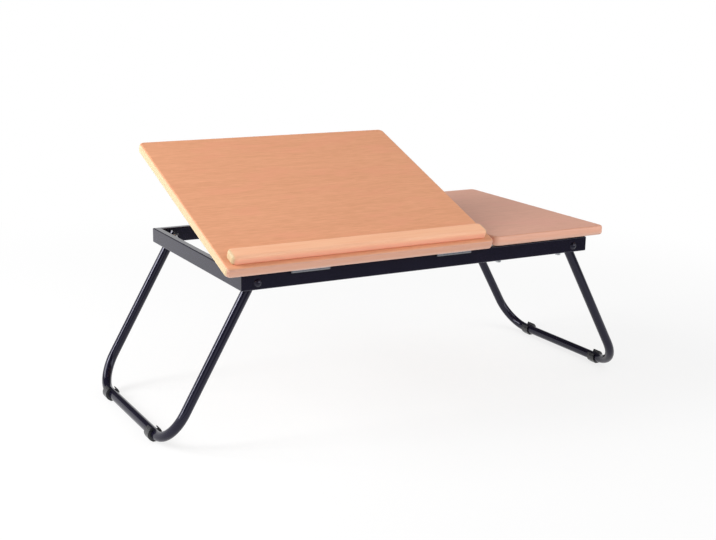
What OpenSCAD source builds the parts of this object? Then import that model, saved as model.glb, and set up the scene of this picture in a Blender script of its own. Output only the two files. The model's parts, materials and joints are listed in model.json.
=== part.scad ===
// Folding laptop table with a tilting main panel, a fixed side panel and two folding tube legs.
// Millimetres. X runs along the table, Y from front to rear, Z up from the surface it stands on.

/* [Table top] */
// Length of both panels together with the gap between them
top_length = 562; // [480:2:640]
// Depth of the panels, front to rear
top_depth = 318; // [280:1:340]
// How far the panels reach past the frame in front
front_overhang = 9.5; // [7:0.5:14]
// How far they reach past it at the rear
rear_overhang = 8.5; // [2:0.5:14]
// How far they reach past it at each end
end_overhang = 23.5; // [10:0.5:30]
// Thickness of the boards
board_t = 12.7; // [10:0.1:15]
// Radius along the boards' edges
edge_r = 3.2; // [1.5:0.1:4]
// Radius of the panels' corners, seen from above
corner_r = 8; // [7:1:22]
// Width of the fixed side panel
side_panel_w = 182; // [140:1:200]
// Gap between the two panels
panel_gap = 4; // [2:0.5:8]
// Angle that the main panel stands at
tilt = 20.3; // [12:0.1:28]

/* [Stop ledge] */
// Width of the ledge, front to rear
ledge_w = 21.5; // [14:0.5:26]
// Height of the ledge above the panel
ledge_h = 11.5; // [7.5:0.5:16]
// Distance from the panel's front edge to the ledge
ledge_setback = 8; // [6:0.5:14]
// Distance from the panel's side edges to the ledge's ends
ledge_inset = 9; // [6:0.5:30]
// Radius along the ledge's upper edges
ledge_round = 4; // [2:0.5:5]
// Radius along the ledge's lower edges
ledge_low_round = 1.5; // [0.5:0.5:2]
// Radius of the ledge's corners, seen from above
ledge_corner_r = 6; // [5:0.5:9]

/* [Frame] */
// Height of the frame's rails
rail_h = 20; // [18:0.5:25]
// Width of the frame's rails
rail_w = 10; // [8:0.5:12]
// Wall of the frame's rails
rail_wall = 1.2; // [0.8:0.1:1.5]
// Outer radius of the rails' edges
rail_edge_r = 1.5; // [1:0.1:2]

/* [Cross bars] */
// Place of the left cross bar's web
left_bar_x = -128; // [-130:0.5:-122]
// Place of the right cross bar's web
right_bar_x = -52.5; // [-60:0.5:-50]
// Thickness of the cross bars' sheet steel
bar_t = 2; // [1.5:0.1:2.2]
// Width of the flange that lies on the rails
bar_flange_w = 12; // [10:0.5:12.5]
// Depth of the web below the rails' top
bar_web_h = 16; // [14:0.5:17]

/* [Legs] */
// Diameter of the leg tubes
tube_d = 12.7; // [11:0.1:13.5]
// Wall of the leg tubes
tube_wall = 1.2; // [0.8:0.1:1.6]
// Distance from the pivot to the middle of the cross tube
leg_length = 221.5; // [200:1:228]
// Angle of the legs from upright
splay = 29.5; // [24:0.1:34]
// Radius of the tubes' bends
bend_r = 44; // [30:1:55]
// Depth of the pivots below the frame's top
pivot_drop = 11.5; // [11:0.1:12.5]
// Length of tube past the pivot
tube_tail = 7; // [6:0.5:8]
// Diameter of the pivot bolts
bolt_d = 6; // [5:0.5:6]
// Diameter of the bolts' domed heads
bolt_head_d = 10.5; // [9:0.5:12]
// Height of the bolts' domed heads
bolt_head_h = 3.4; // [2.5:0.1:4.5]
// Thickness of the washers beside the tubes
washer_t = 0.75; // [0.5:0.05:1.2]

/* [Feet] */
// Length of a foot along its tube
foot_length = 14; // [10:0.5:18]
// Distance from the tube's bend to the foot
foot_gap = 0.5; // [0:0.5:15]
// Wall of the clip ring
foot_wall = 2.9; // [2.5:0.1:3.2]
// How far the ring's outside stands away from the tube's middle, outwards
foot_bulge = 1; // [0.5:0.1:1.2]
// Thickness of the sole below the tube
sole_t = 2.5; // [2.5:0.1:5]
// Width of the flat sole
sole_w = 6; // [4:0.5:9]

/* [Hinges] */
// Place of the left hinge's middle
left_hinge_x = -168; // [-172:1:-166]
// Place of the right hinge's middle
right_hinge_x = 38; // [28:1:50]
// Length of a hinge
hinge_length = 51; // [46:1:56]
// Thickness of a leaf
leaf_t = 1.15; // [1.15:0.05:1.5]
// Width of the panel's leaf from the pin's axis
panel_leaf_w = 17; // [14:0.5:20]
// Diameter of the knuckles
knuckle_d = 6; // [5:0.1:6.2]
// Diameter of the hinge pins
pin_d = 2.6; // [2:0.1:3]

/* [Prop] */
// Distance of the prop's pivot behind the hinge pins
prop_y = 130; // [126:1:140]
// Depth of the prop's pivot below the frame's top
prop_drop = 8; // [7.5:0.1:8.5]
// Distance from the prop's pivot to its top bar
prop_length = 110; // [106:1:116]
// Diameter of the prop's rod
rod_d = 6; // [5:0.5:6.5]
// Diameter of the sleeve on the top bar
sleeve_d = 8; // [8:0.5:8.5]
// Diameter of the clamp knobs
knob_d = 14; // [11:0.5:14.5]
// Length of the clamp knobs
knob_length = 9; // [6:0.5:9]

/* [Fasteners] */
// Diameter of the side panel's screws
panel_screw_d = 4; // [3:0.5:4.5]
// How far the side panel's screws reach into the board
panel_screw_bite = 8; // [6:0.5:9]
// Diameter of the hinge screws
hinge_screw_d = 3; // [2.5:0.1:3.2]
// Diameter of the spacers and rest pads
pad_d = 9; // [8:0.5:9.5]

/* [Hidden] */
$fn = 64;
seat = 0.05;                 // clearance of a shaft in its hole, on the radius
free_gap = 0.3;              // clearance between pieces that only rest together

// The frame's outside length and depth
frame_length = top_length - 2 * end_overhang;
frame_depth = top_depth - front_overhang - rear_overhang;

tube_r = tube_d / 2;
bolt_r = bolt_d / 2;
pin_r = pin_d / 2;
rod_r = rod_d / 2;
knuckle_r = knuckle_d / 2;

// The tube of a standing leg leans on the lower inner edge of the end rail, which sets the pivot's place
stop_depth = rail_h - pivot_drop - rail_edge_r;
stop_reach = (tube_r + rail_edge_r + seat + stop_depth * sin(splay)) / cos(splay);
pivot_inset = rail_w - rail_edge_r + stop_reach;
pivot_x = frame_length / 2 - pivot_inset;
side_tube_y = frame_depth / 2 - rail_w - washer_t - 2 * seat - tube_r;

// Heights
pivot_z = leg_length * cos(splay) + tube_r + sole_t;
frame_top = pivot_z + pivot_drop;
frame_low = frame_top - rail_h;
stack_t = 2 * leaf_t + 0.1;
panel_low = frame_top + stack_t;
hinge_z = panel_low - knuckle_r - 0.2;

// Depths, from the frame's middle
hinge_y = -frame_depth / 2 - knuckle_r - 0.1;
front_y = -frame_depth / 2 - front_overhang;
rear_y = front_y + top_depth;

// The origin lies under the middle of the whole table, so the frame's middle lies a little off it
nose_y = front_y + edge_r - hinge_y;
nose_z = panel_low + board_t - edge_r - hinge_z;
board_front_y = hinge_y + nose_y * cos(tilt) - nose_z * sin(tilt) - edge_r;
lip_y = front_y - hinge_y + ledge_setback + ledge_round;
lip_z = panel_low + board_t + ledge_h - ledge_round - hinge_z;
ledge_front_y = hinge_y + lip_y * cos(tilt) - lip_z * sin(tilt) - ledge_round;
frame_y = -(min(board_front_y, ledge_front_y, front_y) + rear_y) / 2;

// Lengths of the panels
main_panel_w = top_length - panel_gap - side_panel_w;
main_x0 = -top_length / 2;
main_x1 = main_x0 + main_panel_w;
side_x0 = main_x1 + panel_gap;
side_x1 = top_length / 2;
ledge_x0 = main_x0 + ledge_inset;
ledge_length = main_panel_w - 2 * ledge_inset;
ledge_y = front_y + ledge_setback + ledge_w / 2;

// Side panel's screws, which stand clear of the leg pivots
side_screw_x = [side_x0 + 16, pivot_x - 22];
rail_mid_y = frame_depth / 2 - rail_w / 2;
spacer_r = pad_d / 2;
panel_screw_head_r = panel_screw_d * 0.95;
panel_screw_head_h = panel_screw_d * 0.6;

// Hinge screws
hinge_screw_r = hinge_screw_d / 2;
hinge_screw_dx = hinge_length / 2 - 8;
hinge_screw_y = -rail_mid_y;
hinge_head_r = hinge_screw_r + 0.9;
hinge_head_h = 0.9;
frame_leaf_w = rail_w - frame_depth / 2 - hinge_y;
leaf_screw_y = hinge_y + panel_leaf_w - hinge_screw_d - 1.5;
panel_screw_depth = 7;
hinge_end_gap = 0.3;
side_knuckle = 0.28 * hinge_length;

// Ledge screws, driven up through the main panel
ledge_screw_inset = 14;
ledge_screw_x = [ledge_x0 + ledge_screw_inset, ledge_x0 + ledge_length / 2,
    ledge_x0 + ledge_length - ledge_screw_inset];
ledge_screw_r = 1.75;
ledge_screw_head_r = 3.4;
ledge_screw_bite = 7;
head_sink = 2.4;

// Rest pads on the rear rail for the panel when it lies flat
rest_pad_x = [-150, 60];

// Cross bars are notched at their ends, to pass over the folded leg tubes
neck_h = pivot_drop - tube_r - 0.5;
neck_y = side_tube_y - tube_r - 10;
bar_end_y = frame_depth / 2 - rail_w - free_gap;

// Prop, standing under the tilted panel with its sleeve against the board
prop_pivot_y = hinge_y + prop_y;
prop_pivot_z = frame_top - prop_drop;
sleeve_r = sleeve_d / 2;
prop_rise = panel_low - hinge_z - sleeve_r - free_gap + prop_y * sin(tilt)
    + (hinge_z - prop_pivot_z) * cos(tilt);
prop_angle = tilt + asin(prop_rise / prop_length);
prop_bend = rod_r * 2;
prop_end_gap = 1;
prop_arm_left = left_bar_x + bar_t / 2 + prop_end_gap + prop_bend;
prop_arm_right = right_bar_x - bar_t / 2 - prop_end_gap - prop_bend;
prop_washer_t = 1;
knob_gap = 0.1;
stub_length = bar_t + prop_end_gap + prop_washer_t + 2 * knob_gap + knob_length - 2;

// Feet
foot_r = tube_r + foot_wall;
foot_y = side_tube_y - bend_r - foot_gap - foot_length / 2;
foot_mouth_low = 20;         // where the clip ring's mouth begins above level, on the table's inner side
foot_mouth_high = 118;       // where it ends
mouth_middle = (foot_mouth_low + foot_mouth_high) / 2;
lip_gap = 1.3;               // between the tube and the lip beside the mouth
lip_length = 4.4;
lip_t = 1.3;

// Colours
beech = [0.86, 0.62, 0.45];
beech_pale = [0.95, 0.72, 0.55];
black_paint = [0.10, 0.10, 0.13];
black_plastic = [0.16, 0.16, 0.17];
zinc = [0.70, 0.71, 0.73];
rubber = [0.07, 0.07, 0.07];

// Placing

module on_frame() {
    translate([0, frame_y, 0]) children();
}

module tilted() {
    translate([0, frame_y + hinge_y, hinge_z]) rotate([tilt, 0, 0])
        translate([0, -hinge_y, -hinge_z]) children();
}

module mirrored_pair_y() {
    children();
    mirror([0, 1, 0]) children();
}

// turns a solid built along Z to lie along X
module along_x() {
    rotate([0, 90, 0]) children();
}

// Boards

// a slab from [x0, y0, 0] to [x1, y1, t] with rounded corners, its lower edges rounded by low_r
// and its upper ones by high_r
module slab(x0, x1, y0, y1, t, corner, low_r, high_r) {
    translate([x0 + corner, (y0 + y1) / 2, 0]) rotate([90, 0, 90])
        linear_extrude(x1 - x0 - 2 * corner) slab_section(y1 - y0, t, low_r, high_r);
    for (right = [0, 1])
        translate([right ? x1 - corner : x0 + corner, y1 - corner, 0]) rotate([90, 0, 0])
            linear_extrude(y1 - y0 - 2 * corner)
                mirror([1 - right, 0]) edge_section(corner, t, low_r, high_r);
    for (right = [0, 1], rear = [0, 1])
        translate([right ? x1 - corner : x0 + corner, rear ? y1 - corner : y0 + corner, 0])
            rotate([0, 0, right ? (rear ? 0 : 270) : (rear ? 90 : 180)])
                rotate_extrude(angle = 90) edge_section(corner, t, low_r, high_r);
}

// a slab's whole section, centred on its width
module slab_section(width, t, low_r, high_r) {
    translate([-width / 2, low_r]) square([width, t - low_r - high_r]);
    translate([high_r - width / 2, t / 2]) square([width - 2 * high_r, t / 2]);
    if (low_r > 0) translate([low_r - width / 2, 0]) square([width - 2 * low_r, t / 2]);
    for (side = [-1, 1]) {
        translate([side * (width / 2 - high_r), t - high_r]) circle(r = high_r);
        if (low_r > 0) translate([side * (width / 2 - low_r), low_r]) circle(r = low_r);
    }
}

// the part of a slab's section within its corner radius
module edge_section(corner, t, low_r, high_r) {
    intersection() {
        slab_section(2 * corner, t, low_r, high_r);
        square([corner, t]);
    }
}

module board(x0, x1) {
    slab(x0, x1, front_y, rear_y, board_t, corner_r, edge_r, edge_r);
}

module main_panel() {
    color(beech) tilted() difference() {
        translate([0, 0, panel_low]) board(main_x0, main_x1);
        for (x = [left_hinge_x, right_hinge_x], dx = [-hinge_screw_dx, hinge_screw_dx])
            translate([x + dx, leaf_screw_y, panel_low - 1])
                cylinder(r = hinge_screw_r, h = panel_screw_depth + 1.2);
        for (x = ledge_screw_x) translate([x, ledge_y, panel_low - 1]) {
            cylinder(r = ledge_screw_r, h = board_t + 2);
            cylinder(r = ledge_screw_head_r, h = head_sink + 1);
        }
    }
}

module side_panel() {
    color(beech) on_frame() difference() {
        translate([0, 0, panel_low]) board(side_x0, side_x1);
        for (x = side_screw_x, y = [-rail_mid_y, rail_mid_y])
            translate([x, y, panel_low - 1]) cylinder(d = panel_screw_d, h = panel_screw_bite + 1.2);
    }
}

module stop_ledge() {
    color(beech_pale) tilted() translate([0, ledge_y, panel_low + board_t]) difference() {
        slab(ledge_x0, ledge_x0 + ledge_length, -ledge_w / 2, ledge_w / 2, ledge_h,
            ledge_corner_r, ledge_low_round, ledge_round);
        for (x = ledge_screw_x)
            translate([x, 0, -1]) cylinder(r = ledge_screw_r, h = ledge_screw_bite + 1.2);
    }
}

module ledge_screws() {
    color(zinc) tilted() for (x = ledge_screw_x) translate([x, ledge_y, panel_low]) {
        translate([0, 0, 0.2]) cylinder(r = ledge_screw_head_r - seat, h = head_sink - 0.3);
        translate([0, 0, 1]) cylinder(r = ledge_screw_r - seat, h = board_t + ledge_screw_bite - 1);
    }
}

// Frame

// a rail's hollow section, standing on its lower edge in the middle of its width
module rail_section() {
    difference() {
        rounded_box(rail_w, rail_h, rail_edge_r);
        translate([0, rail_wall])
            rounded_box(rail_w - 2 * rail_wall, rail_h - 2 * rail_wall, max(rail_edge_r - rail_wall, 0.2));
    }
}

module rounded_box(w, h, r) {
    translate([-w / 2, r]) square([w, h - 2 * r]);
    translate([r - w / 2, 0]) square([w - 2 * r, h]);
    for (x = [r - w / 2, w / 2 - r], y = [r, h - r]) translate([x, y]) circle(r = r);
}

// a rail along X at the rear of the frame, cut to a mitre at both ends
module long_rail() {
    intersection() {
        translate([-frame_length / 2, rail_mid_y, frame_low]) rotate([90, 0, 90])
            linear_extrude(frame_length) rail_section();
        translate([0, 0, frame_low - 1]) linear_extrude(rail_h + 2) mitre_outline();
    }
}

module mitre_outline() {
    x = frame_length / 2;
    y = frame_depth / 2;
    polygon([[-x, y], [rail_w - x, y - rail_w], [x - rail_w, y - rail_w], [x, y]]);
}

// a rail along Y at the right end of the frame, cut to a mitre at both ends
module end_rail() {
    intersection() {
        translate([frame_length / 2 - rail_w / 2, frame_depth / 2, frame_low]) rotate([90, 0, 0])
            linear_extrude(frame_depth) rail_section();
        translate([0, 0, frame_low - 1]) linear_extrude(rail_h + 2) end_mitre_outline();
    }
}

module end_mitre_outline() {
    x = frame_length / 2;
    y = frame_depth / 2;
    polygon([[x, -y], [x, y], [x - rail_w, y - rail_w], [x - rail_w, rail_w - y]]);
}

// holes along Y through the rails for the pivot bolts
module pivot_holes() {
    for (x = [-pivot_x, pivot_x]) translate([x, frame_depth, pivot_z]) rotate([90, 0, 0])
        cylinder(r = bolt_r + seat, h = 2 * frame_depth);
}

module side_screw_holes() {
    for (x = side_screw_x, y = [-rail_mid_y, rail_mid_y])
        translate([x, y, frame_low - 1]) cylinder(r = panel_screw_d / 2 + seat, h = rail_h + 2);
}

module front_rail() {
    color(black_paint) on_frame() difference() {
        mirror([0, 1, 0]) long_rail();
        pivot_holes();
        side_screw_holes();
        for (x = [left_hinge_x, right_hinge_x], dx = [-hinge_screw_dx, hinge_screw_dx])
            translate([x + dx, hinge_screw_y, frame_top - 3]) cylinder(r = hinge_screw_r, h = 4);
    }
}

module rear_rail() {
    color(black_paint) on_frame() difference() {
        long_rail();
        pivot_holes();
        side_screw_holes();
    }
}

module left_rail() {
    color(black_paint) on_frame() mirror([1, 0, 0]) end_rail();
}

module right_rail() {
    color(black_paint) on_frame() end_rail();
}

// an angle bar pressed from sheet steel, with its web at X = 0 and its flange towards side
module cross_bar(side) {
    flange_x = side < 0 ? bar_t / 2 - bar_flange_w : -bar_t / 2;
    difference() {
        union() {
            translate([flange_x, -frame_depth / 2, frame_top])
                cube([bar_flange_w, frame_depth, bar_t]);
            translate([-bar_t / 2, 0, frame_top]) rotate([90, 0, 90]) linear_extrude(bar_t) bar_web();
        }
        translate([-bar_t, prop_pivot_y, prop_pivot_z]) along_x()
            cylinder(r = rod_r + seat, h = 2 * bar_t);
    }
}

module bar_web() {
    polygon([[-bar_end_y, bar_t / 2], [-bar_end_y, -neck_h], [-neck_y, -neck_h],
        [neck_h - neck_y, -bar_web_h], [neck_y - neck_h, -bar_web_h],
        [neck_y, -neck_h], [bar_end_y, -neck_h], [bar_end_y, bar_t / 2]]);
}

module left_cross_bar() {
    color(black_paint) on_frame() translate([left_bar_x, 0, 0]) cross_bar(-1);
}

module right_cross_bar() {
    color(black_paint) on_frame() translate([right_bar_x, 0, 0]) cross_bar(1);
}

module side_panel_spacers() {
    color(black_plastic) on_frame() for (x = side_screw_x, y = [-rail_mid_y, rail_mid_y])
        translate([x, y, frame_top]) difference() {
            cylinder(r = spacer_r, h = stack_t);
            translate([0, 0, -1]) cylinder(r = panel_screw_d / 2 + seat, h = stack_t + 2);
        }
}

module side_panel_screws() {
    color(zinc) on_frame() for (x = side_screw_x, y = [-rail_mid_y, rail_mid_y])
        translate([x, y, frame_low]) {
            translate([0, 0, -panel_screw_head_h]) difference() {
                cylinder(r = panel_screw_head_r, h = panel_screw_head_h);
                cross_recess(panel_screw_d);
            }
            cylinder(r = panel_screw_d / 2 - seat, h = rail_h + stack_t + panel_screw_bite);
        }
}

// recess for a cross-head driver, cut upwards from Z = 0
module cross_recess(size) {
    for (turn = [0, 90]) rotate([0, 0, turn])
        translate([-size / 2, -size * 0.1, -1]) cube([size, size * 0.2, 1 + size * 0.3]);
}

module rest_pads() {
    color(rubber) on_frame() for (x = rest_pad_x)
        translate([x, rail_mid_y, frame_top]) cylinder(r = spacer_r, h = stack_t - free_gap);
}

// Hinges

// a leaf with its knuckles, lying flat with its face down; outer is true for the two end knuckles
module hinge_leaf(x, outer) {
    half = hinge_length / 2;
    middle = half - side_knuckle;
    runs = outer ? [[-half, -middle - hinge_end_gap], [middle + hinge_end_gap, half]]
        : [[-middle, middle]];
    z0 = outer ? frame_top : panel_low - leaf_t;
    width = outer ? frame_leaf_w : panel_leaf_w;
    screw_y = outer ? hinge_screw_y : leaf_screw_y;
    difference() {
        union() {
            for (run = runs) translate([x + run[0], hinge_y, 0]) {
                translate([0, 0, hinge_z]) along_x() cylinder(r = knuckle_r, h = run[1] - run[0]);
                translate([0, 0, z0]) cube([run[1] - run[0], width, leaf_t]);
            }
            translate([x - half, hinge_y + knuckle_r + 0.2, z0])
                cube([hinge_length, width - knuckle_r - 0.2, leaf_t]);
        }
        translate([x - half - 1, hinge_y, hinge_z]) along_x()
            cylinder(r = pin_r + (outer ? seat : 1.4 * seat), h = hinge_length + 2);
        for (dx = [-hinge_screw_dx, hinge_screw_dx])
            translate([x + dx, screw_y, outer ? z0 + leaf_t : z0]) mirror([0, 0, outer ? 1 : 0]) {
                countersink(seat);
                translate([0, 0, -1]) cylinder(r = hinge_head_r + seat, h = 1);
                cylinder(r = hinge_screw_r + seat, h = leaf_t + 1);
            }
    }
}

module left_hinge_frame_leaf() {
    color(zinc) on_frame() hinge_leaf(left_hinge_x, true);
}

module right_hinge_frame_leaf() {
    color(zinc) on_frame() hinge_leaf(right_hinge_x, true);
}

module left_hinge_panel_leaf() {
    color(zinc) tilted() hinge_leaf(left_hinge_x, false);
}

module right_hinge_panel_leaf() {
    color(zinc) tilted() hinge_leaf(right_hinge_x, false);
}

// a pin with a small domed head at its left end
module hinge_pin(x) {
    translate([x - hinge_length / 2, hinge_y, hinge_z]) along_x() {
        cylinder(r = pin_r, h = hinge_length + 0.5);
        translate([0, 0, -1.2]) cylinder(r = knuckle_r * 0.9, h = 1.1);
        translate([0, 0, -0.6]) cylinder(r = pin_r, h = 1);
    }
}

module left_hinge_pin() {
    color(zinc) on_frame() hinge_pin(left_hinge_x);
}

module right_hinge_pin() {
    color(zinc) on_frame() hinge_pin(right_hinge_x);
}

module countersink(spare) {
    cylinder(r1 = hinge_head_r + spare, r2 = hinge_screw_r + spare, h = hinge_head_h);
}

// a countersunk screw with its head's face at Z = 0, pointing up
module hinge_screw(length) {
    difference() {
        union() {
            countersink(-seat);
            cylinder(r = hinge_screw_r - seat, h = length);
        }
        cross_recess(hinge_screw_d * 0.8);
    }
}

module hinge_frame_screws() {
    color(zinc) on_frame() for (x = [left_hinge_x, right_hinge_x], dx = [-hinge_screw_dx, hinge_screw_dx])
        translate([x + dx, hinge_screw_y, frame_top + leaf_t]) mirror([0, 0, 1])
            hinge_screw(leaf_t + 2.5);
}

module hinge_panel_screws() {
    color(zinc) tilted() for (x = [left_hinge_x, right_hinge_x], dx = [-hinge_screw_dx, hinge_screw_dx])
        translate([x + dx, leaf_screw_y, panel_low - leaf_t])
            hinge_screw(leaf_t + panel_screw_depth);
}

// Legs

// the left leg's place, turned out to its splay about the pivot
module left_leg_frame() {
    translate([-pivot_x, frame_y, pivot_z]) rotate([0, splay, 0]) children();
}

// a bent rod or tube of radius r: two sides along -Z, two bends and a cross piece
module leg_bend(r, tail) {
    straight = leg_length - bend_r;
    mirrored_pair_y() {
        translate([0, side_tube_y, -straight]) cylinder(r = r, h = straight + tail);
        translate([0, side_tube_y - bend_r, -straight]) rotate([0, -90, 0]) rotate([0, 0, 90])
            rotate_extrude(angle = 90) translate([bend_r, 0]) circle(r = r);
    }
    translate([0, side_tube_y - bend_r, -leg_length]) rotate([90, 0, 0])
        cylinder(r = r, h = 2 * (side_tube_y - bend_r));
}

module leg_tube() {
    difference() {
        leg_bend(tube_r, tube_tail);
        leg_bend(tube_r - tube_wall, tube_tail + 1);
        translate([0, frame_depth, 0]) rotate([90, 0, 0])
            cylinder(r = bolt_r + seat, h = 2 * frame_depth);
    }
}

module left_leg_tube() {
    color(black_paint) left_leg_frame() leg_tube();
}

module right_leg_tube() {
    color(black_paint) mirror([1, 0, 0]) left_leg_frame() leg_tube();
}

// plastic plugs in the tubes' upper ends
module leg_plugs() {
    for (y = [-side_tube_y, side_tube_y]) translate([0, y, tube_tail]) {
        cylinder(r = tube_r, h = 1.2);
        translate([0, 0, -2.5]) cylinder(r = tube_r - tube_wall - seat, h = 2.6);
    }
}

module left_leg_plugs() {
    color(black_plastic) left_leg_frame() leg_plugs();
}

module right_leg_plugs() {
    color(black_plastic) mirror([1, 0, 0]) left_leg_frame() leg_plugs();
}

// section of a foot across the tube, with the table's middle towards +X
module foot_section() {
    difference() {
        union() {
            translate([-foot_bulge, foot_bulge / 2]) circle(r = foot_r);
            translate([-foot_bulge - sole_w / 2, -tube_r - sole_t]) square([sole_w, tube_r + sole_t]);
        }
        circle(r = tube_r + seat);
        polygon([[0, 0], for (a = [foot_mouth_low, mouth_middle, foot_mouth_high])
            2 * foot_r * [cos(a), sin(a)]]);
    }
    rotate(foot_mouth_low) translate([tube_r + lip_gap, -1]) rotate(8) square([lip_t, lip_length]);
}

// a clipped foot on the left leg's cross tube, side is -1 in front and 1 at the rear
module left_foot(side) {
    cross_x = -pivot_x - leg_length * sin(splay);
    translate([cross_x, frame_y + side * foot_y + foot_length / 2, tube_r + sole_t])
        rotate([90, 0, 0]) linear_extrude(foot_length) foot_section();
}

module left_front_foot() {
    color(black_plastic) left_foot(-1);
}

module left_rear_foot() {
    color(black_plastic) left_foot(1);
}

module right_front_foot() {
    color(black_plastic) mirror([1, 0, 0]) left_foot(-1);
}

module right_rear_foot() {
    color(black_plastic) mirror([1, 0, 0]) left_foot(1);
}

// Pivot hardware, from the outer face of the rail inwards along +Y

bolt_y = -frame_depth / 2;
tube_face_y = side_tube_y + tube_r;
nut_t = 4.5;
nut_y = -side_tube_y + tube_r + seat + washer_t + seat;

module at_pivots() {
    on_frame() for (x = [-pivot_x, pivot_x]) mirrored_pair_y() translate([x, 0, pivot_z]) children();
}

module y_cylinder(r, y0, y1) {
    translate([0, y0, 0]) rotate([-90, 0, 0]) cylinder(r = r, h = y1 - y0);
}

// a domed head made from a ball's cap
module dome_head() {
    ball_r = (pow(bolt_head_d / 2, 2) + pow(bolt_head_h, 2)) / (2 * bolt_head_h);
    intersection() {
        translate([0, bolt_y - bolt_head_h + ball_r, 0]) sphere(r = ball_r);
        y_cylinder(bolt_head_d / 2, bolt_y - bolt_head_h, bolt_y);
    }
}

module pivot_bolts() {
    color(black_paint) at_pivots() {
        dome_head();
        y_cylinder(bolt_r, bolt_y, nut_y + nut_t + 1);
    }
}

module pivot_washers() {
    color(zinc) at_pivots() for (y0 = [-tube_face_y - seat - washer_t, -side_tube_y + tube_r + seat])
        difference() {
            y_cylinder(bolt_r * 1.9, y0, y0 + washer_t);
            y_cylinder(bolt_r + seat, y0 - 1, y0 + washer_t + 1);
        }
}

module pivot_nuts() {
    color(zinc) at_pivots() difference() {
        union() {
            translate([0, nut_y, 0]) rotate([-90, 0, 0]) cylinder(r = bolt_r * 1.8, h = nut_t - 1, $fn = 6);
            y_cylinder(bolt_r * 1.45, nut_y, nut_y + nut_t);
        }
        y_cylinder(bolt_r + seat / 2, nut_y - 1, nut_y + nut_t + 1);
    }
}

// Prop

// the prop's place, turned up from level about its pivot; its arms run along +Y
module prop_frame() {
    translate([0, frame_y + prop_pivot_y, prop_pivot_z]) rotate([prop_angle, 0, 0]) children();
}

// one side of the prop: its outer end, a small bend, the arm and a bend to the top bar
module prop_side() {
    top_bend = prop_bend * 1.4;
    translate([-prop_bend - stub_length, 0, 0]) along_x() cylinder(r = rod_r, h = stub_length);
    translate([-prop_bend, prop_bend, 0]) rotate([0, 0, -90])
        rotate_extrude(angle = 90) translate([prop_bend, 0]) circle(r = rod_r);
    translate([0, prop_bend, 0]) rotate([-90, 0, 0])
        cylinder(r = rod_r, h = prop_length - prop_bend - top_bend);
    translate([top_bend, prop_length - top_bend, 0]) rotate([0, 0, 90])
        rotate_extrude(angle = 90) translate([top_bend, 0]) circle(r = rod_r);
    translate([top_bend, prop_length, 0]) along_x()
        cylinder(r = rod_r, h = (prop_arm_right - prop_arm_left) / 2 - top_bend);
}

module prop_rod() {
    middle = (prop_arm_left + prop_arm_right) / 2;
    color(zinc) prop_frame() {
        translate([prop_arm_left, 0, 0]) prop_side();
        translate([middle, 0, 0]) mirror([1, 0, 0]) translate([prop_arm_left - middle, 0, 0]) prop_side();
    }
}

module prop_sleeve() {
    length = prop_arm_right - prop_arm_left - 3 * prop_bend;
    color(rubber) prop_frame() translate([(prop_arm_left + prop_arm_right - length) / 2, prop_length, 0])
        along_x() difference() {
            cylinder(r = sleeve_r, h = length);
            translate([0, 0, -1]) cylinder(r = rod_r + seat / 2, h = length + 2);
        }
}

module prop_washers() {
    color(zinc) prop_frame() for (x = [left_bar_x - bar_t / 2 - knob_gap - prop_washer_t,
        right_bar_x + bar_t / 2 + knob_gap])
        translate([x, 0, 0]) along_x() difference() {
            cylinder(r = rod_r * 1.9, h = prop_washer_t);
            translate([0, 0, -1]) cylinder(r = rod_r + seat, h = prop_washer_t + 2);
        }
}

// a clamp knob with finger hollows, its open face at Z = 0
module knob() {
    hollows = 6;
    difference() {
        cylinder(d = knob_d, h = knob_length);
        translate([0, 0, -1]) cylinder(r = rod_r + seat, h = knob_length - 0.5);
        for (i = [0:hollows - 1]) rotate([0, 0, i * 360 / hollows]) translate([knob_d / 2 + 1, 0, 2])
            cylinder(r = 2.2, h = knob_length);
    }
}

module left_prop_knob() {
    x = left_bar_x - bar_t / 2 - 2 * knob_gap - prop_washer_t;
    color(black_plastic) prop_frame() translate([x, 0, 0]) rotate([0, -90, 0]) knob();
}

module right_prop_knob() {
    x = right_bar_x + bar_t / 2 + 2 * knob_gap + prop_washer_t;
    color(black_plastic) prop_frame() translate([x, 0, 0]) rotate([0, 90, 0]) knob();
}

main_panel();
side_panel();
stop_ledge();
ledge_screws();
front_rail();
rear_rail();
left_rail();
right_rail();
left_cross_bar();
right_cross_bar();
side_panel_spacers();
side_panel_screws();
rest_pads();
left_hinge_frame_leaf();
left_hinge_panel_leaf();
left_hinge_pin();
right_hinge_frame_leaf();
right_hinge_panel_leaf();
right_hinge_pin();
hinge_frame_screws();
hinge_panel_screws();
left_leg_tube();
left_leg_plugs();
left_front_foot();
left_rear_foot();
right_leg_tube();
right_leg_plugs();
right_front_foot();
right_rear_foot();
pivot_bolts();
pivot_washers();
pivot_nuts();
prop_rod();
prop_sleeve();
prop_washers();
left_prop_knob();
right_prop_knob();
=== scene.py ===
import json
import math

import bmesh
import bpy
from mathutils import Euler, Matrix, Vector


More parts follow.
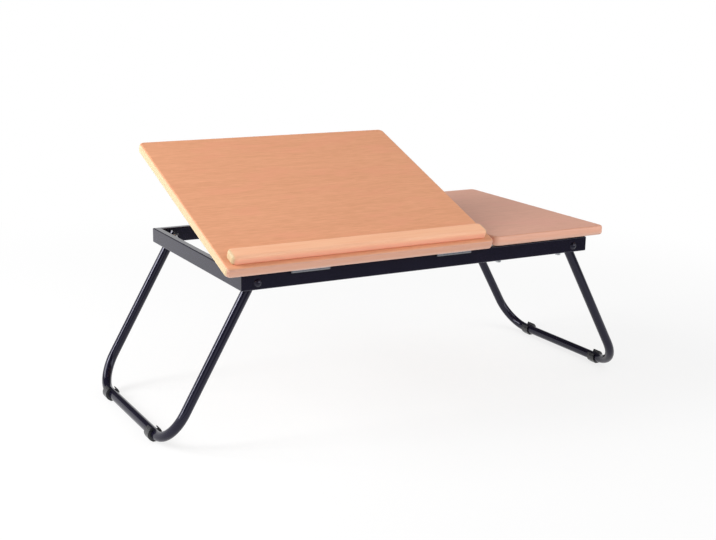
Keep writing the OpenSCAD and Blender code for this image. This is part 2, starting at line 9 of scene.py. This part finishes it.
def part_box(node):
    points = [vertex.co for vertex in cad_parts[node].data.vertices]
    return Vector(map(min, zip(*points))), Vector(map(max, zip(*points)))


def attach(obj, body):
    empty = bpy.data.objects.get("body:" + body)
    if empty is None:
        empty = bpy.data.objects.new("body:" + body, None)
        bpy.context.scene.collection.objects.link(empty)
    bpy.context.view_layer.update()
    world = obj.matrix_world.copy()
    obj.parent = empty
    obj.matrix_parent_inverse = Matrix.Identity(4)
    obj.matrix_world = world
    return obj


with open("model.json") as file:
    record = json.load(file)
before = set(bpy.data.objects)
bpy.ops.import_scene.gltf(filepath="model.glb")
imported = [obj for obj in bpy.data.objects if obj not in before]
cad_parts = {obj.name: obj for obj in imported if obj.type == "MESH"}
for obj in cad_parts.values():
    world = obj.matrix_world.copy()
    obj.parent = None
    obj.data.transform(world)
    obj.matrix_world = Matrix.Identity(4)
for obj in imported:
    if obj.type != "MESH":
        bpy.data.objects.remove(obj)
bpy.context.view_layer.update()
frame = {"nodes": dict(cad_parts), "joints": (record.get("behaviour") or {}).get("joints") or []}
nodes = frame["nodes"]


# Steel frame: four mitred lengths of 20 x 10 mm box tube, welded at the corners and
# powder coated in gloss black. Two pressed angle bars lie across them, welded to their
# tops, and carry the prop.
def srgb(red, green, blue):
    """A colour as seen on a screen, 0 to 255, as the linear values that a shader takes."""
    parts = [v / 255 for v in (red, green, blue)]
    return [v / 12.92 if v <= 0.04045 else ((v + 0.055) / 1.055) ** 2.4 for v in parts] + [1.0]


class Feed:
    """A socket of a shader's node, on which sums can be written."""

    def __init__(self, tree, socket):
        self.tree = tree
        self.socket = socket

    def of(self, name):
        """Another output of the same node."""
        return Feed(self.tree, self.socket.node.outputs[name])

    def math(self, operation, *others):
        return self.tree.node("ShaderNodeMath", {"operation": operation},
                              dict(enumerate((self, *others))))

    def __add__(self, other):
        return self.math("ADD", other)

    def __sub__(self, other):
        return self.math("SUBTRACT", other)

    def __mul__(self, other):
        return self.math("MULTIPLY", other)

    def __rsub__(self, other):
        return (self * -1.0) + other

    __radd__ = __add__
    __rmul__ = __mul__

    def step(self, low, high):
        """0 below low, 1 above high and smooth between them."""
        return self.tree.node("ShaderNodeMapRange", {"interpolation_type": "SMOOTHSTEP"},
                              {"Value": self, "From Min": low, "From Max": high})


class Shading:
    """The nodes of a material or of the world."""

    # The Mix node repeats its sockets' names for each kind of data, so they go by number.
    MIX_FACTOR, MIX_FIRST_COLOUR, MIX_SECOND_COLOUR, MIX_RESULT_COLOUR = 0, 6, 7, 2

    def __init__(self, owner):
        owner.use_nodes = True
        self.tree = owner.node_tree
        self.tree.nodes.clear()

    def put(self, socket, value):
        if isinstance(value, Feed):
            self.tree.links.new(value.socket, socket)
        else:
            socket.default_value = value

    def node(self, kind, settings=(), sockets=()):
        """Adds a node with its settings and its sockets' values or links, and gives its
        first output."""
        new = self.tree.nodes.new(kind)
        for name, value in dict(settings).items():
            setattr(new, name, value)
        for name, value in dict(sockets).items():
            self.put(new.inputs[name], value)
        return Feed(self, next((s for s in new.outputs if s.enabled), None))

    def mix(self, share, first, second):
        """The first colour where share is 0 and the second where it is 1."""
        return self.node("ShaderNodeMix", {"data_type": "RGBA", "blend_type": "MIX"},
                         {self.MIX_FACTOR: share, self.MIX_FIRST_COLOUR: first,
                          self.MIX_SECOND_COLOUR: second}).of(self.MIX_RESULT_COLOUR)


class Finish(Shading):
    """A procedural material, with its Principled shader ready."""

    def __init__(self, name):
        self.material = bpy.data.materials.new(name)
        super().__init__(self.material)
        shader = self.node("ShaderNodeBsdfPrincipled")
        self.shader = shader.socket.node
        self.node("ShaderNodeOutputMaterial", {}, {"Surface": shader})
        self.place = self.node("ShaderNodeTexCoord").of("Object")

    def set(self, **values):
        """Values or links for the shader's sockets, with _ for a space in their names."""
        for name, value in values.items():
            self.put(self.shader.inputs[name.replace("_", " ")], value)

    def noise(self, size, vector=None, detail=2.0, roughness=0.5):
        """Noise from 0 to 1 whose blobs are about size metres across, or stretched where
        size is a triple."""
        stretch = [1 / s for s in size] if isinstance(size, tuple) else [1 / size] * 3
        at = self.node("ShaderNodeMapping", {},
                       {"Vector": vector or self.place, "Scale": stretch})
        return self.node("ShaderNodeTexNoise", {"noise_dimensions": "3D"},
                         {"Vector": at, "Scale": 1.0, "Detail": detail, "Roughness": roughness})

    def bump(self, height, distance, strength):
        return self.node("ShaderNodeBump", {},
                         {"Height": height, "Distance": distance, "Strength": strength})


def coat(names, finish):
    """Gives each named node of the pack its finish."""
    for name in names:
        mesh = nodes[name].data
        mesh.materials.clear()
        mesh.materials.append(finish.material)


def black_powder_coat():
    paint = Finish("black_powder_coat")
    peel = paint.noise(0.0016, detail=1.0)
    dust = paint.noise(0.03, detail=3.0)
    paint.set(Base_Color=paint.mix(dust, srgb(15, 13, 27), srgb(22, 19, 36)),
              Roughness=0.09 + dust * 0.07,
              IOR=1.45, Specular_Tint=(0.78, 0.78, 0.96, 1),
              Normal=paint.bump(peel, 0.00003, 0.3))
    return paint


powder_coat = black_powder_coat()
coat(("front_rail", "rear_rail", "left_rail", "right_rail",
      "left_cross_bar", "right_cross_bar"), powder_coat)


# Welds: short beads that run down the inner corners of the frame and across the ends
# of the two angle bars, under the same powder coat.
BEAD_SIDES = 12
RINGS_PER_RIPPLE = 4
RIPPLE_HEIGHT = 0.13        # as a share of the bead's radius
BLUNTNESS = 2.2             # of the bead's ends, where 2 gives an ellipse
SMALL = 1e-6
RAIL_WIDTH = 0.010
PROUD = 0.0001              # from the rails' faces to the middle of a bead
CORNER_BEAD = 0.0011        # radius
CORNER_RIPPLES = 9
CORNER_BARE_BELOW = 0.002
CORNER_BARE_ABOVE = 0.0015
BAR_BEAD = 0.0009           # radius
BAR_RIPPLES = 5
BAR_BARE = 0.0015           # of the rail's width, on each side of a bar's bead


def weld_beads(name, runs):
    """Beads of weld metal as one piece: each run is its two ends, its radius and its
    number of ripples."""
    bm = bmesh.new()
    for start, end, radius, ripples in runs:
        start, end = Vector(start), Vector(end)
        turn = (end - start).to_track_quat("Z", "Y").to_matrix().to_4x4()
        length = (end - start).length
        bead = bmesh.ops.create_uvsphere(bm, u_segments=BEAD_SIDES,
                                         v_segments=RINGS_PER_RIPPLE * ripples,
                                         radius=1.0)["verts"]
        for vert in bead:
            along = math.asin(max(-1.0, min(1.0, vert.co.z))) / math.pi
            ripple = 1 + RIPPLE_HEIGHT * math.cos(2 * math.pi * ripples * along)
            blunt = min(1.0, BLUNTNESS * math.sqrt(max(0.0, 0.25 - along * along)))
            around = Vector((vert.co.x, vert.co.y, 0))
            if around.length > SMALL:
                around = around.normalized() * radius * ripple * blunt
            vert.co = around + Vector((0, 0, along * length))
        bmesh.ops.transform(bm, matrix=Matrix.Translation((start + end) / 2) @ turn, verts=bead)
    bmesh.ops.recalc_face_normals(bm, faces=bm.faces)
    for face in bm.faces:
        face.smooth = True
    mesh = bpy.data.meshes.new(name)
    bm.to_mesh(mesh)
    bm.free()
    piece = bpy.data.objects.new(name, mesh)
    bpy.context.scene.collection.objects.link(piece)
    mesh.materials.append(powder_coat.material)
    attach(piece, "frame")


front_low, front_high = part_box("front_rail")
rear_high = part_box("rear_rail")[1]
inner_x = front_high.x - RAIL_WIDTH - PROUD
weld_beads("corner_welds", [
    ((x, y, front_low.z + CORNER_BARE_BELOW), (x, y, front_high.z - CORNER_BARE_ABOVE),
     CORNER_BEAD, CORNER_RIPPLES)
    for x in (-inner_x, inner_x)
    for y in (front_low.y + RAIL_WIDTH + PROUD, rear_high.y - RAIL_WIDTH - PROUD)])

bar_runs = []
bead_z = front_high.z + PROUD
bead_length = RAIL_WIDTH - 2 * BAR_BARE
for bar in ("left_cross_bar", "right_cross_bar"):
    bar_low, bar_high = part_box(bar)
    for x in (bar_low.x, bar_high.x):
        for y in (bar_low.y + BAR_BARE, bar_high.y - RAIL_WIDTH + BAR_BARE):
            bar_runs.append(((x, y, bead_z), (x, y + bead_length, bead_z), BAR_BEAD, BAR_RIPPLES))
weld_beads("bar_welds", bar_runs)


# Legs: one U of half-inch steel tube at each end, in the same coat as the frame. It
# turns on two bolts with domed heads and folds inwards between the front and rear
# rails. The bolts' washers and lock nuts are zinc plated.
def bright_zinc():
    plate = Finish("bright_zinc")
    cloud = plate.noise(0.004, detail=3.0)
    plate.set(Base_Color=plate.mix(cloud, srgb(176, 179, 184), srgb(214, 216, 220)),
              Metallic=1.0, Roughness=0.2 + cloud * 0.18)
    return plate


zinc = bright_zinc()
coat(("left_leg_tube", "right_leg_tube", "pivot_bolts"), powder_coat)
coat(("pivot_washers", "pivot_nuts"), zinc)


# Plastic parts, moulded in black with a fine spark-eroded grain: the feet that clip
# over the cross tubes beside the bends, the plugs in the tubes' upper ends, the fixed
# panel's spacers and the prop's two knobs.
def moulded_plastic():
    plastic = Finish("moulded_plastic")
    grain = plastic.noise(0.0005, detail=1.0)
    scuff = plastic.noise(0.006, detail=3.0).step(0.52, 0.75)
    plastic.set(Base_Color=plastic.mix(scuff, srgb(42, 42, 46), srgb(58, 58, 63)),
                Roughness=0.24 + scuff * 0.16,
                Normal=plastic.bump(grain, 0.00005, 0.6))
    return plastic


coat(("left_front_foot", "left_rear_foot", "right_front_foot", "right_rear_foot",
      "left_leg_plugs", "right_leg_plugs", "side_panel_spacers",
      "left_prop_knob", "right_prop_knob"), moulded_plastic())


# Hinges: two 2 inch butt hinges of pressed steel under the large panel's front edge,
# bright nickel plated, with riveted pins. Their screws are zinc plated, like those of
# the ledge and of the fixed panel.
def polished_nickel():
    plate = Finish("polished_nickel")
    haze = plate.noise(0.003, detail=3.0)
    plate.set(Base_Color=plate.mix(haze, srgb(112, 113, 118), srgb(130, 131, 136)),
              Metallic=1.0, Roughness=0.05 + haze * 0.05)
    return plate


coat([side + part for side in ("left", "right")
      for part in ("_hinge_frame_leaf", "_hinge_panel_leaf", "_hinge_pin")], polished_nickel())
coat(("hinge_frame_screws", "hinge_panel_screws", "ledge_screws", "side_panel_screws"), zinc)


# Prop: a bent 6 mm rod that turns in the two cross bars, with a rubber sleeve on its
# top bar that bears under the large panel. The pads on which the panel rests when it
# lies level are of the same rubber.
def black_rubber():
    rubber = Finish("black_rubber")
    bloom = rubber.noise(0.004, detail=4.0)
    rubber.set(Base_Color=rubber.mix(bloom, srgb(22, 22, 23), srgb(40, 40, 41)),
               Roughness=0.7 + bloom * 0.2,
               Normal=rubber.bump(bloom, 0.0001, 0.4))
    return rubber


coat(("prop_rod", "prop_washers"), zinc)
coat(("prop_sleeve", "rest_pads"), black_rubber())


# Boards: half-inch fibreboard wrapped in a printed beech foil, with its edges rounded
# over. The grain runs along the table and the foil's print is finer and paler along the
# edges. The lower part of each edge is painted paler, a painted reflection, and the
# table's two ends are painted cream, a painted highlight of strong light on them.
panel_tilt = next(joint for joint in frame["joints"] if joint["name"] == "panel_tilt")
HINGE = Vector(panel_tilt["pos_m"])
TILT = math.radians(-panel_tilt["range_deg"][0])    # from level to where the panel stands
level_low, level_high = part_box("side_panel")
UNDERSIDE = level_low.z
FACE = level_high.z
TABLE_END = level_high.x
FACE_FULL = 0.0002          # a face's print is whole down to this depth
FACE_GONE = 0.0014          # and has given way to the edge's print at this one
LOWER_REFLECTION_BAND = (0.0015, 0.0065)       # heights over which the edge's painted lower reflection fades
END_GLARE_FULL = 0.0006        # from the table's end
END_GLARE_GONE = 0.002
# Cream painted on the ends as a painted highlight of strong light; the ends have no edging.
END_GLARE_CREAM = srgb(204, 181, 142)


def beech_foil(name, tilt, face, streak, blush, edge, lower_edge_reflection, underside):
    """The print is worked out on the board as it lies level, so a tilted one is turned
    back about the hinge first."""
    wood = Finish(name)
    shift = HINGE - Matrix.Rotation(-tilt, 4, "X") @ HINGE
    flat = wood.node("ShaderNodeMapping", {}, {
        "Vector": wood.place, "Rotation": (-tilt, 0, 0), "Location": shift})
    split = wood.node("ShaderNodeSeparateXYZ", {}, {0: flat})
    height = split.of("Z") - UNDERSIDE
    thick = FACE - UNDERSIDE
    top = height.step(thick - FACE_GONE, thick - FACE_FULL)
    under = 1 - height.step(FACE_FULL, FACE_GONE)
    ends = split.of("X").math("ABSOLUTE").step(TABLE_END - END_GLARE_GONE, TABLE_END - END_GLARE_FULL)

    patch = wood.noise((0.07, 0.03, 0.05), flat, detail=2.0).step(0.5, 0.66)
    wave = wood.noise((0.1, 0.006, 0.05), flat, detail=2.0)
    fibre = wood.noise((0.022, 0.0019, 0.004), flat, detail=3.0, roughness=0.6)
    fleck = wood.noise((0.009, 0.0011, 0.002), flat, detail=1.0).step(0.6, 0.72)
    grain = (wave * 0.3 + fibre * 0.7).step(0.3, 0.7)
    board = wood.mix(grain, face, streak)
    board = wood.mix(patch * 0.5, board, blush)
    board = wood.mix(fleck * 0.3, board, streak)

    print_line = wood.noise((0.05, 0.05, 0.0012), flat, detail=3.0).step(0.35, 0.65)
    # Painted reflection: each edge's lower part is painted paler, for the floor its rounding
    # mirrors.
    rim = wood.mix(height.step(*LOWER_REFLECTION_BAND), lower_edge_reflection, edge)
    rim = wood.mix(print_line * 0.25, rim, streak)
    # Painted highlight: the table's ends are painted cream for the strong light on them.
    rim = wood.mix(ends, rim, END_GLARE_CREAM)
    shade = wood.mix(top, rim, board)
    shade = wood.mix(under, shade, underside)
    wood.set(Base_Color=shade, Roughness=0.34 + fibre * 0.12, IOR=1.38,
             Normal=wood.bump(fibre, 0.00005, 0.3))
    return wood


coat(["main_panel"], beech_foil(
    "beech_foil_tilted", TILT,
    face=srgb(239, 173, 134), streak=srgb(225, 158, 120), blush=srgb(237, 164, 130),
    edge=srgb(217, 166, 144), lower_edge_reflection=srgb(222, 182, 164), underside=srgb(206, 166, 138)))
# Same foil as the tilted panel: this copy's darker, greyer face is painted shade and painted
# reflection.
coat(["side_panel"], beech_foil(
    "beech_foil_level", 0,
    face=srgb(226, 165, 139), streak=srgb(214, 154, 128), blush=srgb(224, 158, 136),
    edge=srgb(236, 179, 154), lower_edge_reflection=srgb(224, 180, 160), underside=srgb(200, 160, 134)))


# Stop ledge: a moulding of the same fibreboard wrapped in a plainer, paler foil, rounded
# along its upper edges and screwed on from below. Its ends are painted cream, a painted
# highlight, and the lower part of its nose is painted darker, a painted shade.
NOSE_SHADE_BAND = (0.005, 0.0095)      # above the panel's face, where the nose's painted shade gives way to the top's colour
LEDGE_END_FULL = 0.001      # from the ledge's end
LEDGE_END_GONE = 0.0045
ledge_low, ledge_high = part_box("stop_ledge")
ledge_middle = (ledge_low.x + ledge_high.x) / 2
ledge_half = (ledge_high.x - ledge_low.x) / 2


def ledge_foil():
    foil = Finish("ledge_foil")
    split = foil.node("ShaderNodeSeparateXYZ", {}, {0: foil.place})
    across = split.of("Y") - HINGE.y
    height = (split.of("Z") - HINGE.z) * math.cos(TILT) - across * math.sin(TILT)
    # Painted shade: the lower part of the nose is painted darker, where less light falls on it.
    nose_shade = 1 - (height - (FACE - HINGE.z)).step(*NOSE_SHADE_BAND)
    ends = (split.of("X") - ledge_middle).math("ABSOLUTE").step(
        ledge_half - LEDGE_END_GONE, ledge_half - LEDGE_END_FULL)
    grain = foil.noise((0.06, 0.003, 0.003), detail=2.0)
    shade = foil.mix(grain.step(0.3, 0.7), srgb(255, 196, 158), srgb(252, 188, 150))
    shade = foil.mix(nose_shade, shade, foil.mix(grain, srgb(254, 185, 155), srgb(248, 176, 145)))
    # Painted highlight: the ledge's ends are painted cream for the strong light on them.
    foil.set(Base_Color=foil.mix(ends, shade, END_GLARE_CREAM), Roughness=0.34 + grain * 0.1, IOR=1.4)
    return foil


coat(["stop_ledge"], ledge_foil())


# Studio: a plain white floor and background, soft boxes in front, on the left and
# overhead, a smaller one low on the left, and the camera where the photograph was
# taken from.
FLOOR_REACH = 30
FLOOR_NEAR, FLOOR_FAR = 0.45, 1.3       # from the table, between which the floor turns white
NEAR_WHITE = 0.78           # share of the floor near the table that light doesn't change
FRONT_DIM = (-0.8, -0.4)    # the floor in front of the table, dimmer as the paint mirrors it
FRONT_DIM_SHARE = 0.8
WORLD_LIGHT = 0.34
HIGH_SKY = (0.23, 0.34)     # dimmer as the paint mirrors it
HIGH_SKY_DIM = 0.9
AIM = (0, 0, 0.2)           # the table's middle


def studio_floor():
    bm = bmesh.new()
    bmesh.ops.create_grid(bm, x_segments=1, y_segments=1, size=FLOOR_REACH)
    mesh = bpy.data.meshes.new("studio_floor")
    bm.to_mesh(mesh)
    bm.free()
    floor = bpy.data.objects.new("studio_floor", mesh)
    bpy.context.scene.collection.objects.link(floor)
    paper = Finish("floor_paper")
    paper.set(Base_Color=srgb(250, 250, 250), Roughness=0.9, Specular_IOR_Level=0.1)
    ray = paper.node("ShaderNodeLightPath")
    mirrored = ray.of("Is Glossy Ray")
    seen = ray.of("Is Camera Ray").math("MAXIMUM", mirrored)
    length = paper.node("ShaderNodeVectorMath", {"operation": "LENGTH"}, {0: paper.place})
    far = length.of("Value").step(FLOOR_NEAR, FLOOR_FAR)
    split = paper.node("ShaderNodeSeparateXYZ", {}, {0: paper.place})
    front = 1 - split.of("Y").step(*FRONT_DIM)
    glow = paper.node("ShaderNodeEmission", {}, {
        "Color": (1, 1, 1, 1), "Strength": 1 - mirrored * front * FRONT_DIM_SHARE})
    lit = Feed(paper, paper.shader.outputs[0])
    share = seen * (NEAR_WHITE + far * (1 - NEAR_WHITE))
    whole = paper.node("ShaderNodeMixShader", {}, {0: share, 1: lit, 2: glow})
    paper.put(paper.tree.nodes["Material Output"].inputs["Surface"], whole)
    mesh.materials.append(paper.material)


studio_floor()

scene = bpy.context.scene
scene.view_settings.view_transform = "Standard"
scene.world = bpy.data.worlds.new("studio")
sky = Shading(scene.world)
ray = sky.node("ShaderNodeLightPath")
shown = ray.of("Is Camera Ray").math("MAXIMUM", ray.of("Is Transmission Ray"))
way = sky.node("ShaderNodeTexCoord").of("Generated")
high = sky.node("ShaderNodeSeparateXYZ", {}, {0: way}).of("Z").step(*HIGH_SKY)
strength = (WORLD_LIGHT + shown * (1 - WORLD_LIGHT)
            + ray.of("Is Glossy Ray") * ((1 - WORLD_LIGHT) - high * HIGH_SKY_DIM))
backdrop = sky.node("ShaderNodeBackground", {}, {"Color": (1, 1, 1, 1), "Strength": strength})
sky.node("ShaderNodeOutputWorld", {}, {"Surface": backdrop})


def soft_box(name, place, size, watts, target=AIM):
    lamp = bpy.data.lights.new(name, "AREA")
    lamp.shape, lamp.size, lamp.size_y = "RECTANGLE", size[0], size[1]
    lamp.energy = watts
    body = bpy.data.objects.new(name, lamp)
    body.location = place
    body.rotation_euler = (Vector(target) - Vector(place)).to_track_quat("-Z", "Y").to_euler()
    scene.collection.objects.link(body)


soft_box("front_box", place=(1.1, -2.1, 1.15), size=(2.4, 1.9), watts=26)
soft_box("left_strip", place=(-1.6, 0.23, 0.7), size=(0.4, 0.65), watts=11, target=(-0.33, 0, 0.1))
soft_box("rear_left_box", place=(-1.5, 0.55, 1.25), size=(1.2, 1.0), watts=23)
soft_box("top_box", place=(0.85, -0.55, 1.65), size=(1.0, 0.8), watts=4)

CAMERA_PLACE = Vector((-0.8182, -1.42237, 0.56132))
CAMERA_TURN = Euler([math.radians(degrees) for degrees in (76.247, -0.907, -29.15)])
camera_data = bpy.data.cameras.new("camera")
camera_data.lens = 61.367
camera = bpy.data.objects.new("camera", camera_data)
camera.matrix_world = Matrix.LocRotScale(CAMERA_PLACE, CAMERA_TURN, None)
scene.collection.objects.link(camera)
scene.camera = camera
